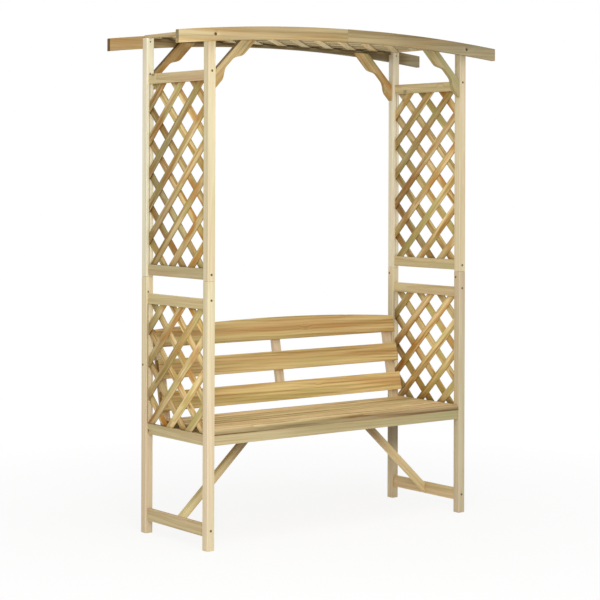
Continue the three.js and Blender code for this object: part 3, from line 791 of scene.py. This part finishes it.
def slatShape(nodes, length, width, thickness, rounding):
    # one slat along X with eased arrises
    make, made, maths, vectors, combined = nodes
    halfLength = maths("MULTIPLY", length, 0.5)
    line = made("GeometryNodeCurvePrimitiveLine", {"Start": combined(maths("MULTIPLY", halfLength, -1.0)),
                                                   "End": combined(halfLength)})
    section = made("GeometryNodeCurvePrimitiveQuadrilateral", {"Width": width, "Height": thickness})
    section = made("GeometryNodeFilletCurve", {"Curve": section, "Count": 2, "Radius": rounding,
                                               "Limit Radius": True}, mode="POLY")
    return made("GeometryNodeCurveToMesh", {"Curve": line, "Profile Curve": section,
                                            "Fill Caps": True})


# inputs of every tree that makes boards: the spread of their shades, the seed and the material
boardSockets = {"Tone Low": 0.9, "Tone High": 1.1, "Lean Low": -0.3, "Lean High": 0.3, "Seed": 1,
                "Timber": None}


def boardInputs(tones, leans, seed, finish):
    return {"Tone Low": tones[0], "Tone High": tones[1], "Lean Low": leans[0], "Lean High": leans[1],
            "Seed": seed, "Timber": finishes[finish]}


def markBoards(nodes, geometry, given, number, own):
    # gives each board, by its number, its own stretch of timber figure, its tone and its lean
    make, made, maths, vectors, combined = nodes

    def drawn(step, low, high):
        return randomIn(make, number, maths("ADD", given["Seed"], float(step)), low, high)

    run, rise = boardRules["figureShift"][:2]
    place = vectors("ADD", own, combined(drawn(0, -run, run), drawn(1, -rise, rise)))
    geometry = storeAttribute(made, geometry, "boardPlace", place, "FLOAT_VECTOR")
    tone = drawn(2, given["Tone Low"], given["Tone High"])
    geometry = storeAttribute(made, geometry, "boardTone", tone)
    lean = drawn(3, given["Lean Low"], given["Lean High"])
    return storeAttribute(made, geometry, "boardLean", lean)


latticeSockets = {"Low": (-0.2, -0.2, 0.0), "High": (0.2, 0.2, 0.0), "Pitch Across": 0.13, "Pitch Up": 0.128,
                  "Slat Width": 0.032, "Slat Thickness": 0.0046, "Rounding": 0.0008, "Layer Gap": 0.0001,
                  "Lean": 1.0, "First Below": -3, "Count Below": 6, "First Above": -3, "Count Above": 6,
                  "Edge Painted Shade": 0.6, **boardSockets}

# how far slats reach before they are sawn off, against the panel's diagonal, the depth of the block that
# they are sawn to, how square a sawn face is to its slat, and where each layer's numbers start
latticeRules = {"reach": 2.4, "sawDepth": 0.1, "endFacing": 0.4, "numbers": {-1: 500.0, 1: 1500.0}}


def makeLatticeTree():
    tree = newShapeTree("latticePanel", latticeSockets)
    nodes = nodeMaker(tree)
    make, made, maths, vectors, combined = nodes
    given = make("NodeGroupInput").outputs
    span = vectors("SUBTRACT", given["High"], given["Low"])
    middle = vectors("MULTIPLY", vectors("ADD", given["High"], given["Low"]), (0.5, 0.5, 0.5))
    length = maths("MULTIPLY", vectors("LENGTH", span), latticeRules["reach"])
    slat = slatShape(nodes, length, given["Slat Width"], given["Slat Thickness"], given["Rounding"])
    sawSize = vectors("ADD", span, (0, 0, latticeRules["sawDepth"]))
    panelBlock = made("GeometryNodeMeshCube", {"Size": sawSize})
    panelBlock = made("GeometryNodeTransform", {0: panelBlock, "Translation": middle})
    lift = maths("MULTIPLY", maths("ADD", given["Slat Thickness"], given["Layer Gap"]), 0.5)
    spot = make("ShaderNodeSeparateXYZ", {0: made("GeometryNodeInputPosition")}).outputs
    normal = made("GeometryNodeInputNormal")
    flat = maths("ABSOLUTE", make("ShaderNodeSeparateXYZ", {0: normal}).outputs[2])
    # painted shade on the slats' sides, the faces that look out of the panel's plane
    edge = maths("MULTIPLY", maths("SUBTRACT", 1.0, flat), given["Edge Painted Shade"])
    joined = make("GeometryNodeJoinGeometry")
    for side, label in ((-1, "Below"), (1, "Above")):
        rise = maths("MULTIPLY", maths("MULTIPLY", given["Lean"], float(side)), given["Pitch Up"])
        angle = maths("ARCTAN2", rise, given["Pitch Across"])
        start = maths("MULTIPLY", maths("ADD", given["First " + label], 0.5), given["Pitch Up"])
        points = made("GeometryNodeMeshLine", {
            "Count": given["Count " + label], "Offset": combined(y=given["Pitch Up"]),
            "Start Location": combined(y=start, z=maths("MULTIPLY", lift, float(side)))})
        slats = realOnPoints(made, points, slat, combined(z=angle))
        # saw the slats off at the panel's edges
        saw = make("GeometryNodeMeshBoolean", operation="INTERSECT", solver="MANIFOLD")
        tree.links.new(slats, saw.inputs[1])
        tree.links.new(panelBlock, saw.inputs[1])
        # each slat's own number and figure, worked out again from where its points lie
        cosine, sine = maths("COSINE", angle), maths("SINE", angle)
        across = maths("SUBTRACT", maths("MULTIPLY", spot[1], cosine), maths("MULTIPLY", spot[0], sine))
        along = maths("ADD", maths("MULTIPLY", spot[0], cosine), maths("MULTIPLY", spot[1], sine))
        spacing = maths("MULTIPLY", given["Pitch Up"], cosine)
        number = maths("FLOOR", maths("DIVIDE", across, spacing))
        centre = maths("MULTIPLY", maths("ADD", number, 0.5), spacing)
        own = combined(along, maths("SUBTRACT", across, centre), spot[2])
        number = maths("ADD", number, latticeRules["numbers"][side])
        sawn = markBoards(nodes, saw.outputs[0], given, number, own)
        facing = maths("ABSOLUTE", vectors("DOT_PRODUCT", normal, combined(cosine, sine)))
        isEnd = maths("GREATER_THAN", facing, latticeRules["endFacing"])
        sawn = storeAttribute(made, sawn, "endGrain", maths("MAXIMUM", isEnd, edge), "FLOAT", "FACE")
        tree.links.new(sawn, joined.inputs[0])
    closeTree(make, made, joined.outputs[0], given["Timber"])
    return tree


latticeTree = makeLatticeTree()
# the edge shades are painted shade on the slats' sides, strongest under the roof
latticeSizes = {"slatWidth": 0.032, "slatThickness": 0.0046, "sidePitchUp": 0.1284, "sideDiamonds": 3,
                "roofPitchUp": 0.124, "roofDiamonds": 10, "lowerLift": 0.0055, "upperLift": 0.003,
                "searchCount": 30, "searchReach": 3,
                "paintedEdgeShades": {"side": 0.7, "roof": 1.4},
                "seeds": {"lower_left": 11, "upper_left": 4, "lower_right": 37, "upper_right": 52,
                          "roof": 71},
                "tones": {"lower_left": (1.1, 1.42), "upper_left": (0.92, 1.24), "lower_right": (0.94, 1.28),
                          "upper_right": (0.88, 1.18), "roof": (1.0, 1.15)},
                "leans": {"lower_left": (-0.3, 0.3), "upper_left": (-0.3, 0.5), "lower_right": (-0.3, 0.25),
                          "upper_right": (-0.35, 0.25), "roof": (-0.3, 0.05)}}


def slatsThatMeet(low, high, across, up, lean, values):
    # the first and the count of the slats that cross the panel by more than a corner
    width = values["slatWidth"]
    along = Vector((across, lean * up)).normalized()
    square = Vector((-along.y, along.x)) * width / 2
    along *= values["searchReach"]
    found = []
    for i in range(-values["searchCount"], values["searchCount"]):
        middle = Vector((0, (i + 0.5) * up))
        strip = [middle - along - square, middle + along - square, middle + along + square,
                 middle - along + square]
        outline = clipOutline([tuple(point) for point in strip], low, high)
        pairs = zip(outline, outline[1:] + outline[:1])
        area = abs(sum(a[0] * b[1] - a[1] * b[0] for a, b in pairs)) / 2
        if area > width * width:
            found.append(i)
    return found[0], len(found)


def makeLattice(node, low, high, across, up, lean, place, values):
    own = node.replace("lattice_", "")
    kind = "roof" if own == "roof" else "side"
    below = slatsThatMeet(low, high, across, up, -lean, values)
    above = slatsThatMeet(low, high, across, up, lean, values)
    mesh = growMesh(latticeTree, node, {
        "Low": (*low, 0), "High": (*high, 0), "Pitch Across": across, "Pitch Up": up,
        "Slat Width": values["slatWidth"], "Slat Thickness": values["slatThickness"], "Lean": float(lean),
        "First Below": below[0], "Count Below": below[1], "First Above": above[0], "Count Above": above[1],
        "Edge Painted Shade": values["paintedEdgeShades"][kind],
        **boardInputs(values["tones"][own], values["leans"][own], values["seeds"][own],
                      "roofTimber" if own == "roof" else "latticeTimber")})
    mesh.transform(place)
    showPiece(node + "_slats", mesh, None, "lattice_timber", node)
    print(node, "faces:", len(mesh.polygons))


def makeLattices(values):
    for side, sideSign in sideSigns.items():
        for level in latticeRails:
            node = "lattice_" + level + "_" + side
            low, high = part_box(node)
            bottom, top = latticeOpening(level, side)
            diamond = (bottom + top) / 2 + values[level + "Lift"]
            centre = Vector((sideSign * postCentreX, 0, diamond))
            makeLattice(node, (low.y, low.z - diamond), (high.y, high.z - diamond),
                        2 * postInnerY / values["sideDiamonds"], values["sidePitchUp"], 1,
                        boardFrame(centre, axisY, axisZ), values)
    low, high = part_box("lattice_roof")
    centre = Vector((0, 0, (low.z + high.z) / 2))
    pitch = seatSizes["openWidth"] / values["roofDiamonds"]
    makeLattice("lattice_roof", (low.x, low.y), (high.x, high.y), pitch, values["roofPitchUp"], -1,
                boardFrame(centre, axisX, axisY), values)


makeLattices(latticeSizes)
print("lattices made")

# seat: a front slat with a rounded nose, and a row of plain slats behind it
rowSockets = {"Count": 3, "Start": (0.0, 0.0, 0.0), "Pitch": 0.094, "Slat Length": 1.2, "Slat Width": 0.086,
              "Slat Thickness": 0.022, "Rounding": 0.003, "Front Painted Shade": 0.9, **boardSockets}


def makeSlatRowTree():
    tree = newShapeTree("slatRow", rowSockets)
    nodes = nodeMaker(tree)
    make, made, maths, vectors, combined = nodes
    given = make("NodeGroupInput").outputs
    slat = slatShape(nodes, given["Slat Length"], given["Slat Width"], given["Slat Thickness"],
                     given["Rounding"])
    slat = storeAttribute(made, slat, "ownPlace", made("GeometryNodeInputPosition"), "FLOAT_VECTOR")
    points = made("GeometryNodeMeshLine", {"Count": given["Count"], "Start Location": given["Start"],
                                           "Offset": combined(y=given["Pitch"])})
    points = storeAttribute(made, points, "boardNumber", made("GeometryNodeInputIndex"), "INT")
    slats = realOnPoints(made, points, slat)
    number = made("GeometryNodeInputNamedAttribute", {"Name": "boardNumber"}, data_type="INT")
    own = made("GeometryNodeInputNamedAttribute", {"Name": "ownPlace"}, data_type="FLOAT_VECTOR")
    slats = markBoards(nodes, slats, given, number, own)
    facing = make("ShaderNodeSeparateXYZ", {0: made("GeometryNodeInputNormal")}).outputs
    ends = maths("GREATER_THAN", maths("ABSOLUTE", facing[0]), boardRules["endFacing"])
    # the slats' front faces, seen down the gaps between them, get painted shade
    paintedFrontShade = maths("MAXIMUM", maths("MULTIPLY", facing[1], -1.0), 0.0)
    paintedFrontShade = maths("MULTIPLY", paintedFrontShade, given["Front Painted Shade"])
    slats = storeAttribute(made, slats, "endGrain", maths("MAXIMUM", ends, paintedFrontShade), "FLOAT", "FACE")
    # rounded arrises, painted paler as worn wood and as painted highlight
    flat = maths("MAXIMUM", maths("ABSOLUTE", facing[1]), maths("ABSOLUTE", facing[2]))
    low, high = boardRules["arrisFacing"]
    wornAndHighlight = maths("MULTIPLY", maths("LESS_THAN", flat, high), maths("GREATER_THAN", flat, low))
    slats = storeAttribute(made, slats, "arris", wornAndHighlight, "FLOAT", "FACE")
    closeTree(make, made, slats, given["Timber"])
    return tree


# the front slat, with its nose; its front face and nose get painted shade
frontSlatSizes = {"rounding": 0.0015, "nose": 0.010, "noseSteps": 8, "paintedNoseShade": 1.05,
                  "shades": {"seat_slat_1": ((1.0, 0), (0.95, 0))}}


def makeFrontSlat(values):
    low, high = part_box("seat_slat_1")
    size = high - low
    nose = values["nose"]
    y, z = size.y / 2, size.z / 2
    outline = [(-y, -z), (y, -z), (y, z)]
    for i in range(values["noseSteps"] + 1):
        angle = math.pi / 2 * (1 + i / values["noseSteps"])
        outline.append((-y + nose + nose * math.cos(angle), z - nose + nose * math.sin(angle)))
    place = boardFrame((low + high) / 2, axisY, axisZ)
    mesh = boardMesh("seat_slat_1", outline, size.x, place, lengthGrain, values)
    # painted shade on the front face and nose
    shadeFaces(mesh, -axisY, values["paintedNoseShade"])
    showPiece("seat_slat_1_wood", mesh, "seatTimber", "seat_timber", "seat_slat_1")


# paintedGapShade is painted shade on the slats' front faces down the gaps
slatRowSizes = {"rounding": 0.003, "seed": 9, "paintedGapShade": 1.3, "tones": (0.9, 1.05), "leans": (-0.3, 0.2)}


def makeSlatRow(values):
    second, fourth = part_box("seat_slat_2"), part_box("seat_slat_4")
    start = (second[0] + second[1]) / 2
    size = second[1] - second[0]
    pitch = ((fourth[0] + fourth[1]) / 2 - start).y / 2
    mesh = growMesh(makeSlatRowTree(), "seatSlatRow", {
        "Count": 3, "Start": tuple(start), "Pitch": pitch, "Slat Length": size.x, "Slat Width": size.y,
        "Slat Thickness": size.z, "Rounding": values["rounding"], "Front Painted Shade": values["paintedGapShade"],
        **boardInputs(values["tones"], values["leans"], values["seed"], "seatTimber")})
    showPiece("seat_slat_row", mesh, None, "seat_timber", "seat_slat_2", "seat_slat_3", "seat_slat_4")


makeFrontSlat(frontSlatSizes)
makeSlatRow(slatRowSizes)
print("seat slats made")

# back: two slats and an arched crest on three leaning stiles
backSizes = {
    "lean": 11, "thickness": 0.02, "width": 0.076, "halfLength": 0.614, "gap": 0.0493, "start": 0.0328,
    "crestDrop": 0.022, "crestSteps": 40, "height": 0.3683, "seatRear": 0.1423, "rounding": 0.002,
    "stileWidth": 0.035, "stileThickness": 0.022, "stileLength": 0.345, "stileFoot": 0.392,
    "stileInset": 0.008, "centreShift": -0.012, "centreCover": 0.007,
    "shades": {"back_slat_lower": ((1.06, 0), (1.22, 0)), "back_slat_middle": ((0.93, 0), (1.1, 0)),
               "back_crest": ((0.92, 0), (1.05, 0.1))}}


def makeBack(values):
    lean = math.radians(values["lean"])
    up = Vector((0, math.sin(lean), math.cos(lean)))
    through = Vector((0, math.cos(lean), -math.sin(lean)))
    seam = seatSizes["seam"]
    faceY = values["seatRear"] + seam - (values["thickness"] + seam) / math.cos(lean)
    origin = Vector((0, faceY, seatSizes["seatTop"])) + through * values["thickness"] / 2
    place = boardFrame(origin, axisX, up)
    half, pitch = values["halfLength"], values["width"] + values["gap"]
    outlines = {}
    for i, node in enumerate(("back_slat_lower", "back_slat_middle")):
        bottom = values["start"] + i * pitch
        top = bottom + values["width"]
        outlines[node] = [(-half, bottom), (half, bottom), (half, top), (-half, top)]
    bottom, crown = values["start"] + 2 * pitch, values["height"] / math.cos(lean)
    crest = [(-half, bottom), (half, bottom)]
    for i in range(values["crestSteps"], -values["crestSteps"] - 1, -1):
        x = half * i / values["crestSteps"]
        crest.append((x, crown + archFall(x, half, values["crestDrop"])))
    outlines["back_crest"] = crest
    for node, outline in outlines.items():
        mesh = boardMesh(node, outline, values["thickness"], place, plainGrain, values)
        showPiece(node + "_wood", mesh, "backTimber", "back_timber", node)
    makeStiles(values, lean)


def makeStiles(values, lean):
    # the outer stiles stand on the rear apron, the centre one only joins the slats
    seatTop, seam, depth = seatSizes["seatTop"], seatSizes["seam"], values["stileThickness"]
    drop = seatTop - values["stileFoot"]

    def point(rise, through):
        return (seam + rise * math.sin(lean) + through * math.cos(lean),
                rise * math.cos(lean) - through * math.sin(lean))

    head = [point(values["stileLength"], depth), point(values["stileLength"], 0)]
    footBack = seam + depth / math.cos(lean) - drop * math.tan(lean)
    standing = [(seam, -drop), (footBack, -drop), *head, (seam, 0)]
    foot = values["start"] + values["centreCover"]
    hanging = [point(foot, 0), point(foot, depth), *head]
    edge = values["halfLength"] - values["stileInset"] - values["stileWidth"] / 2
    grain = ((math.sin(lean), math.cos(lean), 0), (0, 0, 1), (math.cos(lean), -math.sin(lean), 0))
    for side, x, outline in (("left", -edge, standing), ("centre", values["centreShift"], hanging),
                             ("right", edge, standing)):
        node = "back_stile_" + side
        place = boardFrame(Vector((x, values["seatRear"], seatTop)), axisY, axisZ)
        mesh = boardMesh(node, outline, values["stileWidth"], place, grain, values)
        showPiece(node + "_wood", mesh, "stileTimber", "back_timber", node)


makeBack(backSizes)
print("back made")

# screws: sunk heads on posts, knee braces and back slats
screwSockets = {"Head Radius": 0.004, "Head Height": 0.0006, "Recess": 0.0009, "Seed": 3, "Steel": None}
screwRules = {"sides": 20, "topShare": 0.8, "crossShare": 1.1, "mostTurn": 1.5}


def makeScrewTree():
    tree = newShapeTree("screwHeads", screwSockets)
    make, made, maths, vectors, combined = nodeMaker(tree)
    given = make("NodeGroupInput").outputs
    radius, height = given["Head Radius"], given["Head Height"]
    head = made("GeometryNodeMeshCone", {
        "Vertices": screwRules["sides"], "Radius Top": maths("MULTIPLY", radius, screwRules["topShare"]),
        "Radius Bottom": radius, "Depth": height})
    cross = make("GeometryNodeJoinGeometry")
    tree.links.new(head, cross.inputs[0])
    barLength = maths("MULTIPLY", radius, screwRules["crossShare"])
    barHeight = maths("MULTIPLY", height, screwRules["crossShare"])
    lift = combined(z=maths("MULTIPLY", height, 0.5))
    for first, second in ((barLength, given["Recess"]), (given["Recess"], barLength)):
        bar = made("GeometryNodeMeshCube", {"Size": combined(first, second, barHeight)})
        bar = made("GeometryNodeTransform", {0: bar, "Translation": lift})
        tree.links.new(bar, cross.inputs[0])
    facing = made("GeometryNodeInputNamedAttribute", {"Name": "facing"}, data_type="FLOAT_VECTOR")
    spin = randomIn(make, made("GeometryNodeInputIndex"), given["Seed"], 0.0, screwRules["mostTurn"])
    turned = made("FunctionNodeAlignRotationToVector", {"Rotation": combined(z=spin), "Vector": facing},
                  axis="Z")
    closeTree(make, made, realOnPoints(made, given["Geometry"], cross.outputs[0], turned), given["Steel"])
    return tree


def pointMesh(name, places):
    # places are pairs of a point and the direction that it faces
    mesh = bpy.data.meshes.new(name)
    mesh.from_pydata([tuple(point) for point, facing in places], [], [])
    facings = [part for point, facing in places for part in facing]
    mesh.attributes.new("facing", "FLOAT_VECTOR", "POINT").data.foreach_set("vector", facings)
    return mesh


screwValues = {"headRadius": 0.0048, "seed": 3, "postHeights": (1.7945, 1.032, 0.936, 0.076),
               "innerSpots": ((-0.206, 0.9817), (0.219, 0.9797)),
               "outerSpots": ((0.2187, 0.6595), (0.1806, 0.9478), (0.1752, 0.4058), (0.172, 1.7994))}


def makeScrews(values):
    places = []
    for sideSign in sideSigns.values():
        for z in values["postHeights"]:
            places.append((Vector((sideSign * postCentreX, -postOuterY, z)), -axisY))
    for y, z in values["innerSpots"]:
        places.append((Vector((postInnerX, y, z)), -axisX))
    for y, z in values["outerSpots"]:
        places.append((Vector((-postInnerX - seatSizes["postSize"], y, z)), -axisX))
    mesh = growMesh(makeScrewTree(), "screwHeads", {
        "Head Radius": values["headRadius"], "Seed": values["seed"], "Steel": finishes["screwSteel"]},
        pointMesh("screwPlaces", places))
    showPiece("screw_heads", mesh, None, "bolt_steel")


makeScrews(screwValues)
print("screws made")


def shownRays(make, maths):
    # rays from the camera, and those that metal and glass show
    rays = make("ShaderNodeLightPath").outputs
    seen = maths("MAXIMUM", rays["Is Camera Ray"], rays["Is Glossy Ray"])
    return maths("MAXIMUM", seen, rays["Is Transmission Ray"])


# floor and backdrop, white far off, and the object's soft shadow on it
floorLook = {"colour": (246, 245, 242), "glow": 0.86, "fadeFrom": 0.8, "fadeTo": 2.4, "size": 60.0}


def makeFloor(values):
    mesh = bpy.data.meshes.new("floor")
    corners = [(x, y, 0) for x, y in rectangle(values["size"], values["size"])]
    mesh.from_pydata(corners, [], [(0, 1, 2, 3)])
    material, (make, made, maths, vectors, combined) = newMaterial("paleFloor")
    far = vectors("LENGTH", make("ShaderNodeTexCoord").outputs["Object"])
    share = made("ShaderNodeMapRange", {0: far, 1: values["fadeFrom"], 2: values["fadeTo"],
                                        3: values["glow"], 4: 1.0})
    matt = made("ShaderNodeBsdfDiffuse", {"Color": writtenColour(*values["colour"])})
    white = made("ShaderNodeEmission", {"Color": (1, 1, 1, 1), "Strength": 1.0})
    share = maths("MULTIPLY", share, shownRays(make, maths))
    both = made("ShaderNodeMixShader", {0: share, 1: matt, 2: white})
    make("ShaderNodeOutputMaterial", {"Surface": both})
    mesh.materials.append(material)
    floor = addObject("floor", mesh)


makeFloor(floorLook)

# studio light: a soft room, one lamp near the left front and a broad one overhead
roomLight = {"colour": (1.0, 1.0, 1.0), "strength": 0.52, "aim": (0, 0, 0.9)}
softLamps = {
    "keyLamp": {"place": (-2.0, -2.6, 1.8), "size": 1.0, "power": 33, "colour": (1.0, 0.99, 0.97)},
    "topLamp": {"place": (-0.8, -2.0, 5.4), "size": 3.0, "power": 90, "colour": (1.0, 1.0, 0.99)},
}


def makeLight(room, lamps):
    world = bpy.data.worlds.new("studioRoom")
    bpy.context.scene.world = world
    world.use_nodes = True
    world.node_tree.nodes.clear()
    make, made, maths, vectors, combined = nodeMaker(world.node_tree)
    soft = made("ShaderNodeBackground", {"Color": (*room["colour"], 1), "Strength": room["strength"]})
    white = made("ShaderNodeBackground", {"Color": (1, 1, 1, 1), "Strength": 1.0})
    both = made("ShaderNodeMixShader", {0: shownRays(make, maths), 1: soft, 2: white})
    make("ShaderNodeOutputWorld", {"Surface": both})
    for name, values in lamps.items():
        data = bpy.data.lights.new(name, "AREA")
        data.size, data.energy, data.color = values["size"], values["power"], values["colour"]
        lamp = addObject(name, data)
        lamp.location = values["place"]
        aim = Vector(room["aim"]) - Vector(values["place"])
        lamp.rotation_mode = "QUATERNION"
        lamp.rotation_quaternion = aim.to_track_quat("-Z", "Y")


makeLight(roomLight, softLamps)
bpy.context.scene.view_settings.view_transform = "Standard"
print("floor and light set")
